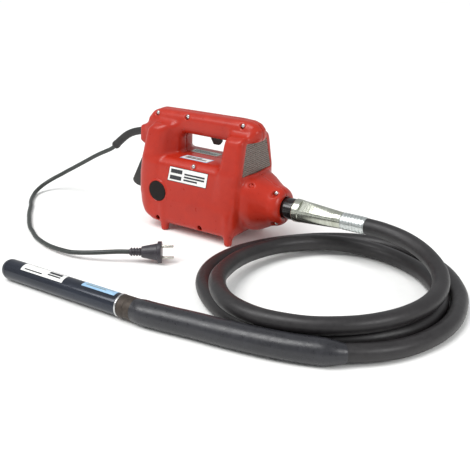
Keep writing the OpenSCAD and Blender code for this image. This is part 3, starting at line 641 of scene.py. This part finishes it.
def skinOf(field, origin, cell):  # a quad skin where the field changes sign
    spans = [slice(0, -1), slice(1, None)]
    shape = tuple(n - 1 for n in field.shape)
    total, count = np.zeros(shape + (3,)), np.zeros(shape)
    for axis in range(3):
        for p in (0, 1):
            for q in (0, 1):
                start = [p, q]
                start.insert(axis, 0)
                end = list(start)
                end[axis] = 1
                a = field[tuple(spans[i] for i in start)]
                b = field[tuple(spans[i] for i in end)]
                change = (a < 0) != (b < 0)
                t = np.where(change, a / np.where(change, a - b, 1), 0)
                for i in range(3):
                    total[..., i] += change * (start[i] + (t if i == axis else 0))
                count += change
    active = count > 0
    number = np.full(shape, -1)
    number[active] = np.arange(active.sum())
    cells = np.argwhere(active)
    points = (cells + total[active] / count[active][:, None]) * cell + origin
    faces = []
    for axis in range(3):
        one, two = [i for i in range(3) if i != axis]
        lower = [slice(1, -1)] * 3
        upper = [slice(1, -1)] * 3
        lower[axis], upper[axis] = slice(0, -1), slice(1, None)
        a, b = field[tuple(lower)], field[tuple(upper)]
        at = np.argwhere((a < 0) != (b < 0))
        rising = (a < 0)[tuple(at.T)]
        at[:, one] += 1
        at[:, two] += 1
        quad = []
        for p, q in ((-1, -1), (0, -1), (0, 0), (-1, 0)):
            c = at.copy()
            c[:, one] += p
            c[:, two] += q
            quad.append(number[tuple(c.T)])
        quad = np.stack(quad, 1)
        flip = rising if axis == 1 else ~rising
        quad[flip] = quad[flip][:, ::-1]
        faces.append(quad)
    points = settleOnField(points, field, origin, cell)
    return points, np.vstack(faces)


def sampled(grid, at):  # trilinear value of a grid at points given in cells
    low = np.clip(np.floor(at).astype(int), 0, np.array(grid.shape) - 2)
    part = at - low
    value = 0
    for i in (0, 1):
        for j in (0, 1):
            for k in (0, 1):
                weight = (part[:, 0] if i else 1 - part[:, 0]) * (part[:, 1] if j else 1 - part[:, 1])
                weight = weight * (part[:, 2] if k else 1 - part[:, 2])
                value = value + weight * grid[low[:, 0] + i, low[:, 1] + j, low[:, 2] + k]
    return value


def settleOnField(points, field, origin, cell):  # moves the skin's points onto the zero of the field
    slopes = np.gradient(field)
    for _ in range(2):
        at = (points - origin) / cell
        slope = np.stack([sampled(s, at) for s in slopes], 1)
        value = sampled(field, at)
        step = value[:, None] * slope / np.maximum((slope ** 2).sum(1), 0.2)[:, None]
        points = points - np.clip(step, -0.4, 0.4) * cell
    return points


def housingHalf(name, heads, mirrored):
    cell = shell["cell"]
    low, high = np.array([-158.0, -62.0, -4.0]), np.array([162.0, 3.0, 210.0])
    axes = [np.arange(low[i], high[i], cell) for i in range(3)]
    x, y, z = axes[0][:, None, None], axes[1][None, :, None], axes[2][None, None, :]
    points, faces = skinOf(halfField(x, y, z, heads), low, cell)
    if mirrored:
        points[:, 1] *= -1
        faces = faces[:, ::-1]
    return meshPiece(name, points * mm, faces, finish["mouldedOrangePolyamide"], atMotor, 50)


housingNear = housingHalf("housingNear", True, False)
housingFar = housingHalf("housingFar", False, True)
standsFor(housingNear, "housing_near")
standsFor(housingFar, "housing_far")
print("housing moulded", len(housingNear.data.polygons), len(housingFar.data.polygons))


# metal and turned pieces of the drive end

atDrive = atMotor @ Matrix.Translation((0, 0, shell["axis"] * mm))
collar = turned("couplingCollar", [
    (124, 13.05), (124, 17.3), (149, 17.3), (150, 17.5), (166.8, 17.5), (168, 16.6), (168, 13.05)],
    finish["polishedAcetal"], atDrive, 0.7)
standsFor(collar, "coupling_collar")


def shaftConnector():
    cone = turned("shaftConnector", [
        (131, 6.2), (131, 12.9), (168.1, 12.9), (168.1, 18.4), (169, 19), (179, 18.5), (180, 18.1),
        (252, 13.1), (252.9, 12.6), (252.9, 6.2)], finish["turnedBrightSteel"], atDrive, 0.5, 128)
    cutter = slab("cutter", [(180, 14.6), (243, 13.4), (243, 30), (180, 30)], -25, 25,
                  finish["turnedBrightSteel"], atDrive @ Matrix.Rotation(math.radians(35), 4, "X"), 0)
    cut = cone.modifiers.new("flat", "BOOLEAN")
    cut.operation, cut.object, cut.solver = "DIFFERENCE", cutter, "EXACT"
    cone = settle(cone, 30)
    bpy.data.objects.remove(cutter)
    return cone


standsFor(shaftConnector(), "shaft_connector")
crimps = {"count": 7, "first": 254.5, "step": 5.6}
ferruleCore = turned("crimpFerrule", [
    (253, 8), (253, 12.7), (292.5, 12.6), (293.9, 12), (293.9, 8)], finish["crimpedZinc"], here, 0.6)
crimp = turned("crimp", [(0, 12.3), (0.2, 13.5), (3.6, 13.6), (3.8, 12.3)], finish["crimpedZinc"],
               here, 0.7, 64)
ferrule = withRow(ferruleCore, crimp, crimps["count"], crimps["first"], crimps["step"],
                  finish["crimpedZinc"], atDrive)
standsFor(ferrule, "crimp_ferrule")


# needle

needleSizes = {"radius": 16, "tube": 219, "ferrule": 24, "ring": 3}  # measured back from the sleeve
ringEnd = -needleSizes["ferrule"]
tubeEnd = ringEnd - needleSizes["ring"]
back = tubeEnd - needleSizes["tube"]
dome = [(back - needleSizes["radius"] * math.sin(a), needleSizes["radius"] * math.cos(a))
        for a in np.linspace(math.pi / 2, 0, 15)]
dome[0] = (back - needleSizes["radius"], 0)
needleTip = turned("needleTip", dome + [
    (back - 0.15, 15.9), (back - 0.15, 9), (back + 6, 9), (back + 6, 0)],
    finish["oilBluedSteel"], atNeedle, 0)
needleTube = turned("needleTube", [
    (back, 11.5), (back, 15.85), (back + 0.3, 16), (tubeEnd - 1.2, 16), (tubeEnd, 15.4), (tubeEnd, 11.5)],
    finish["oilBluedSteel"], atNeedle, 0.4, 128)
needleRing = turned("needleRing", [
    (tubeEnd, 5), (tubeEnd, 16.4), (tubeEnd + 0.6, 16.8), (ringEnd - 0.6, 16.8), (ringEnd, 16.4),
    (ringEnd, 5)], finish["zincPlatedSteel"], atNeedle, 0.3)
needleFerrule = turned("needleFerrule", [
    (ringEnd, 5), (ringEnd, 15.9), (ringEnd + 1.5, 16.5), (-12.6, 16.5), (-12.2, 16.1), (-11.8, 16.1),
    (-11.4, 16.5), (-1, 16.5), (0, 16), (0, 5)], finish["brownedSteel"], atNeedle, 0.3)
standsFor(needleTip, "needle_tip")
standsFor(needleTube, "needle_tube")
standsFor(needleRing, "needle_ring")
standsFor(needleFerrule, "needle_ferrule")
print("drive end and needle turned")


# screws, caps, switch paddle, strap lug

screwSizes = {"head": 3.8, "rise": 2.6, "cross": 1.0, "reach": 2.6, "shank": 2, "depth": 10}


def screwHead():
    r, h = screwSizes["head"], screwSizes["rise"]
    crown = [(h * math.sin(a), r * math.cos(a)) for a in np.linspace(0.25, math.pi / 2, 8)]
    crown[-1] = (h, 0)
    shank, depth = screwSizes["shank"], screwSizes["depth"]
    head = turned("screwHead", [(-depth, 0), (-depth, shank), (0, shank), (0, r)] + crown,
                  finish["zincPlatedSteel"], here, 0, 32)
    w, l = screwSizes["cross"] / 2, screwSizes["reach"]
    arms = [(-w, l), (w, l), (w, w), (l, w), (l, -w), (w, -w), (w, -l), (-w, -l), (-w, -w), (-l, -w),
            (-l, w), (-w, w)]
    points = [(x * mm, a * mm, b * mm) for x in (h * 0.45, h + 1) for a, b in arms]
    n = len(arms)
    sides = [(i, (i + 1) % n, (i + 1) % n + n, i + n) for i in range(n)]
    ends = [tuple(range(n)), tuple(range(2 * n - 1, n - 1, -1))]
    cutter = facingOut(meshPiece("cross", points, sides + ends, finish["zincPlatedSteel"]))
    cut = head.modifiers.new("cross", "BOOLEAN")
    cut.operation, cut.object, cut.solver = "DIFFERENCE", cutter, "EXACT"
    head = settle(head, 30)
    bpy.data.objects.remove(cutter)
    head.data.transform(Matrix.Rotation(math.radians(-90), 4, "Z"))  # crown now faces -Y
    return head


def scatterTree():  # a copy of a piece on every point, each turned a little about its own axis
    tree = bpy.data.node_groups.new("copyOnEachPoint", "GeometryNodeTree")
    given = givenSockets(tree, [
        ("Points", "Geometry"), ("Copy", "Object"), ("Seed", "Int"), ("Skin", "Material")])
    copy = addNode(tree, "GeometryNodeObjectInfo", {"Object": given["Copy"]})
    angle = addNode(tree, "FunctionNodeRandomValue", {2: 0.0, 3: 1.5, "Seed": given["Seed"]})
    turn = addNode(tree, "ShaderNodeCombineXYZ", {"Y": angle.outputs[1]})
    spin = addNode(tree, "FunctionNodeEulerToRotation", {"Euler": turn.outputs[0]})
    copies = addNode(tree, "GeometryNodeInstanceOnPoints", {
        "Points": given["Points"], "Instance": copy.outputs["Geometry"], "Rotation": spin.outputs[0]})
    solid = addNode(tree, "GeometryNodeRealizeInstances", {"Geometry": copies.outputs[0]})
    return handOver(tree, "Copies", solid.outputs[0], given["Skin"])


def copiesOn(name, points, copy, material, seed):
    piece = meshPiece(name, points, [], material)
    spread = piece.modifiers.new("copies", "NODES")
    spread.node_group = scatterTree()
    giveInputs(spread, {"Copy": copy, "Seed": seed, "Skin": material})
    bpy.context.view_layer.update()
    made = settle(piece, 30)
    bpy.data.objects.remove(copy)
    return made


seats = [motorPlace + Vector((x * mm, y * mm, z * mm)) for x, z, y in screws]
screwSet = copiesOn("housingScrews", seats, screwHead(), finish["zincPlatedSteel"], 4)
standsFor(screwSet, "housing_screws")

capLathe = [(0, 0), (0, 13.9), (4.6, 13.9), (4.6, 17.6), (6.2, 17.6), (6.7, 17), (6.7, 0)]
for name, side in (("brushCapNear", -1), ("brushCapFar", 1)):
    turn = Matrix.Rotation(math.radians(90 * side), 4, "Z")
    place = atDrive @ Matrix.Translation((-0.076, side * 0.0493, 0)) @ turn
    cap = turned(name, capLathe, finish["capBakelite"], place, 0.4)
    standsFor(cap, "brush_caps")

paddleOutline = [
    (-114.5, 127), (-117, 130), (-131, 130), (-137, 124), (-169, 64), (-168.6, 60.5), (-166, 57),
    (-160, 54), (-146, 52), (-128, 58), (-122, 66), (-121, 112), (-114.5, 118)]
paddle = slab("switchPaddle", paddleOutline, -13, 13, finish["blackNylon"], atMotor, 1.6)
standsFor(paddle, "switch_paddle", "paddle")

lug = slab("strapLug", [(-13, 166.9), (-13, 163), (-11.5, 160), (-5, 148.5), (6, 148.5), (10.5, 154),
                        (11.5, 162), (12, 163), (12, 166.9)], 11, 17, finish["blackNylon"], atMotor, 0.8)
standsFor(lug, "strap_lug")
print("screws, caps, paddle and lug fitted")


# front grille: a sheet of round holes in a staggered pattern

grilleSizes = {
    "pitch": 3.3, "hole": 1.15, "thick": 0.8, "plane": 89.6, "foot": 120.5, "across": 28, "rows": 17,
    "halfWidth": 42.5, "slope": -0.265, "weld": 0.02}


def holeTile():
    half, r, t = grilleSizes["pitch"] / 2, grilleSizes["hole"], grilleSizes["thick"]
    corners = [(half, 0), (half, half), (0, half), (-half, half), (-half, 0), (-half, -half), (0, -half),
               (half, -half)]
    rim = [(r * math.cos(a), r * math.sin(a)) for a in np.arange(8) * math.pi / 4]
    points = [(x * mm, a * mm, b * mm) for x in (t, 0) for a, b in corners + rim]
    faces = []
    for i in range(8):
        n = (i + 1) % 8
        faces += [(i, n, 8 + n, 8 + i), (16 + n, 16 + i, 24 + i, 24 + n), (8 + i, 8 + n, 24 + n, 24 + i)]
    return meshPiece("holeTile", points, faces, finish["grilleSteelSheet"])


def grilleTree():  # staggered rows of tiles, kept inside a sloping-sided opening
    tree = bpy.data.node_groups.new("staggeredHoles", "GeometryNodeTree")
    given = givenSockets(tree, [
        ("Frame", "Geometry"), ("Tile", "Object"), ("Pitch", "Float"), ("Across", "Int"), ("Rows", "Int"),
        ("Foot", "Float"), ("Slope", "Float"), ("Weld", "Float"), ("Skin", "Material")])
    total = worked(tree, "MULTIPLY", given["Across"], given["Rows"])
    dots = addNode(tree, "GeometryNodePoints", {"Count": total})
    index = addNode(tree, "GeometryNodeInputIndex").outputs[0]
    row = worked(tree, "FLOOR", worked(tree, "DIVIDE", index, given["Across"]))
    column = worked(tree, "MODULO", index, given["Across"])
    odd = worked(tree, "MODULO", row, 2.0)
    shift = worked(tree, "MULTIPLY_ADD", odd, 0.5, column)
    middle = worked(tree, "MULTIPLY_ADD", given["Across"], -0.5, shift)
    y = worked(tree, "MULTIPLY", middle, given["Pitch"])
    z = worked(tree, "MULTIPLY", row, given["Pitch"])
    where = addNode(tree, "ShaderNodeCombineXYZ", {"Y": y, "Z": z})
    laid = addNode(tree, "GeometryNodeSetPosition", {
        "Geometry": dots.outputs[0], "Position": where.outputs[0]})
    lean = worked(tree, "MULTIPLY_ADD", z, given["Slope"], given["Foot"])
    past = worked(tree, "GREATER_THAN", worked(tree, "ABSOLUTE", y), lean)
    kept = addNode(tree, "GeometryNodeDeleteGeometry", {"Geometry": laid.outputs[0], "Selection": past})
    tile = addNode(tree, "GeometryNodeObjectInfo", {"Object": given["Tile"]})
    tiles = addNode(tree, "GeometryNodeInstanceOnPoints", {
        "Points": kept.outputs[0], "Instance": tile.outputs["Geometry"]})
    solid = addNode(tree, "GeometryNodeRealizeInstances", {"Geometry": tiles.outputs[0]})
    weld = addNode(tree, "GeometryNodeMergeByDistance", {
        "Geometry": solid.outputs[0], "Distance": given["Weld"]})
    return handOver(tree, "Grille", weld.outputs[0], given["Skin"])


def frontGrille():
    sheet = meshPiece("frontGrille", [], [], finish["grilleSteelSheet"])
    tile = holeTile()
    holes = sheet.modifiers.new("holes", "NODES")
    holes.node_group = grilleTree()
    giveInputs(holes, {
        "Tile": tile, "Pitch": grilleSizes["pitch"] * mm, "Across": grilleSizes["across"],
        "Rows": grilleSizes["rows"], "Foot": grilleSizes["halfWidth"] * mm, "Slope": grilleSizes["slope"],
        "Weld": grilleSizes["weld"] * mm, "Skin": finish["grilleSteelSheet"]})
    bpy.context.view_layer.update()
    sheet = settle(sheet, 30)
    bpy.data.objects.remove(tile)
    sheet.data.transform(atMotor @ Matrix.Translation((
        grilleSizes["plane"] * mm, 0, grilleSizes["foot"] * mm)))
    return sheet


grille = frontGrille()
standsFor(grille, "front_grille")
print("grille", len(grille.data.polygons))


# stickers, with plain bars in place of lettering

def patchPiece(name, surface, bars, skins, nu=2, nv=2, lift=0.25):
    # surface(u, v, lift) gives a point in mm; bars are (u0, v0, u1, v1, skin)
    points, faces, which = [], [], []
    sheets = [(0, 0, 1, 1, 0, lift)] + [(*bar, lift + (0.12 if i else 0.06)) for i, bar in enumerate(bars)]
    for u0, v0, u1, v1, skin, up in sheets:
        start = len(points)
        cols = max(2, int(nu * (u1 - u0)) + 2)
        rows = max(2, int(nv * (v1 - v0)) + 2)
        for level in (up, 0 if skin == 0 and up == lift else up - 0.06):
            for j in range(rows):
                for i in range(cols):
                    u, v = u0 + (u1 - u0) * i / (cols - 1), v0 + (v1 - v0) * j / (rows - 1)
                    points.append([c * mm for c in surface(u, v, level)])
        n = cols * rows
        for j in range(rows - 1):
            for i in range(cols - 1):
                a = start + j * cols + i
                faces.append((a, a + 1, a + 1 + cols, a + cols))
                faces.append((a + n, a + n + cols, a + n + 1 + cols, a + n + 1))
                which += [skin, skin]
        edge = [i for i in range(cols)] + [(j + 1) * cols - 1 for j in range(1, rows)]
        edge += [(rows - 1) * cols + i for i in range(cols - 2, -1, -1)]
        edge += [j * cols for j in range(rows - 2, 0, -1)]
        for a, b in zip(edge, edge[1:] + edge[:1]):
            faces.append((start + b, start + a, start + a + n, start + b + n))
            which.append(skin)
    piece = meshPiece(name, points, faces, skins)
    for polygon, skin in zip(piece.data.polygons, which):
        polygon.material_index = skin
    return facingOut(piece)


def sideSurface(u, v, lift):
    z = 93 + 25 * v
    x = -55 + 4.5 * v + u * (81 - 1 * v)
    y = -(56 - 4.8 * (z - 60) / 71 - 2.6 * (z - 62) / 69) - lift - 0.15
    return (motorPlace.x / mm + x, motorPlace.y / mm + y, z)


def shoulderSurface(u, v, lift):
    drop = 0.0035 * (16 * (1 - v)) ** 2  # follows the crown of the top
    x, y = -42 + 56 * u + 4 * v, -34 + 16 * v
    return (motorPlace.x / mm + x, motorPlace.y / mm + y, shell["top"] + lift - drop)


def plateSurface(u, v, lift):
    return (motorPlace.x / mm - 50 + 57 * u, motorPlace.y / mm + 3 + 17 * v, shell["top"] + lift)


def needleSurface(start, end, low, high):
    def surface(u, v, lift):
        a = math.radians(low + (high - low) * v)
        x, r = start + (end - start) * u, needleSizes["radius"] + lift
        at = atNeedle @ Vector((x * mm, -r * mm * math.sin(a), r * mm * math.cos(a)))
        return tuple(c / mm for c in at)
    return surface


sideLabel = patchPiece("sideLabel", sideSurface, [
    (0.009, 0.035, 0.991, 0.965, 1), (0.05, 0.58, 0.35, 0.86, 0), (0.05, 0.14, 0.35, 0.42, 0),
    (0.41, 0.58, 0.93, 0.70, 0), (0.41, 0.38, 0.93, 0.50, 0), (0.41, 0.18, 0.76, 0.30, 0)],
    [finish["inkSticker"], finish["whiteSticker"]])
shoulderLabel = patchPiece("shoulderLabel", shoulderSurface, [
    (0.03, 0.1, 0.97, 0.9, 1), (0.10, 0.28, 0.88, 0.48, 2), (0.10, 0.58, 0.66, 0.76, 2)],
    [finish["blueSticker"], finish["whiteSticker"], finish["inkSticker"]])
topPlate = patchPiece("topPlate", plateSurface, [
    (0.08, 0.2, 0.9, 0.32, 1), (0.08, 0.45, 0.9, 0.57, 1), (0.08, 0.7, 0.6, 0.82, 1)],
    [finish["foilPlate"], finish["inkSticker"]])
needleLabelA = patchPiece("needleLabelA", needleSurface(-215, -130, -14, 44), [
    (0.62, 0.15, 0.92, 0.45, 1), (0.62, 0.55, 0.92, 0.7, 1), (0.08, 0.72, 0.5, 0.84, 1)],
    [finish["whiteSticker"], finish["inkSticker"]], 40, 10)
needleLabelB = patchPiece("needleLabelB", needleSurface(-96, -34, -30, 22), [
    (0.08, 0.3, 0.9, 0.42, 1), (0.08, 0.58, 0.7, 0.7, 1)],
    [finish["blueSticker"], finish["foilPlate"]], 40, 10)
standsFor(sideLabel, "side_label")
standsFor(shoulderLabel, "shoulder_label")
standsFor(topPlate, "top_plate")
standsFor(needleLabelA, "needle_labels")
standsFor(needleLabelB, "needle_labels")
print("stickers laid")


# the frame's own inner parts keep their shape and get their finish

innerFinish = {
    "rear_bearing": "groundSteel", "front_bearing": "groundSteel", "stator_core": "laminatedIron",
    "field_coils": "enamelledCopper", "fan_baffle": "blackNylon", "armature_shaft": "groundSteel",
    "armature_core": "laminatedIron", "armature_windings": "enamelledCopper", "commutator": "enamelledCopper",
    "cooling_fan": "naturalNylon", "brush_holders": "blackNylon", "carbon_brushes": "pressedCarbon",
    "brush_springs": "springWire", "switch_body": "blackNylon", "switch_plunger": "naturalNylon",
    "paddle_pin": "groundSteel", "capacitor": "dippedResin", "cable_clamp": "blackNylon",
    "clamp_screws": "zincPlatedSteel", "lug_screw": "zincPlatedSteel", "nose_socket": "groundSteel",
    "drive_socket": "groundSteel", "drive_end": "groundSteel", "needle_bearings": "groundSteel",
    "needle_weight": "laminatedIron", "needle_seal": "blackNylon"}
for node, name in innerFinish.items():
    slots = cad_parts[node].data.materials
    slots.clear()
    slots.append(finish[name])


# floor, backdrop light

stageSizes = {"floor": 14, "room": 0.62, "sun": 1.9, "key": 11, "strip": 9}


def makeStage():
    half = stageSizes["floor"] / 2
    paper = makeFinish("palePaper", "#F4F4F2", "#FAFAF8", 400, (0.8, 0.9), (2, 0.02))
    floor = meshPiece("floor", [(-half, -half, 0), (half, -half, 0), (half, half, 0), (-half, half, 0)],
                      [(0, 1, 2, 3)], paper)
    world = bpy.data.worlds.new("softRoom")
    world.use_nodes = True
    glow = world.node_tree.nodes["Background"].inputs
    glow["Color"].default_value = hexColour("#F6F8FA")
    glow["Strength"].default_value = stageSizes["room"]
    bpy.context.scene.world = world
    lamps = [("sunLamp", "SUN", (-0.5, -1.2, 2.6), stageSizes["sun"], 0.6),
             ("keyLamp", "AREA", (-0.9, -1.3, 1.3), stageSizes["key"], 0.7),
             ("stripLamp", "AREA", (1.7, -0.2, 0.9), stageSizes["strip"], 0.5)]
    for name, kind, place, power, size in lamps:
        data = bpy.data.lights.new(name, kind)
        data.energy = power
        if kind == "SUN":
            data.angle = size
        else:
            data.size = size
        lamp = bpy.data.objects.new(name, data)
        lamp.location = place
        lamp.rotation_euler = (Vector((0, 0, 0.05)) - Vector(place)).to_track_quat("-Z", "Y").to_euler()
        bpy.context.scene.collection.objects.link(lamp)
    bpy.context.scene.view_settings.view_transform = "Standard"


makeStage()
print("stage lit")
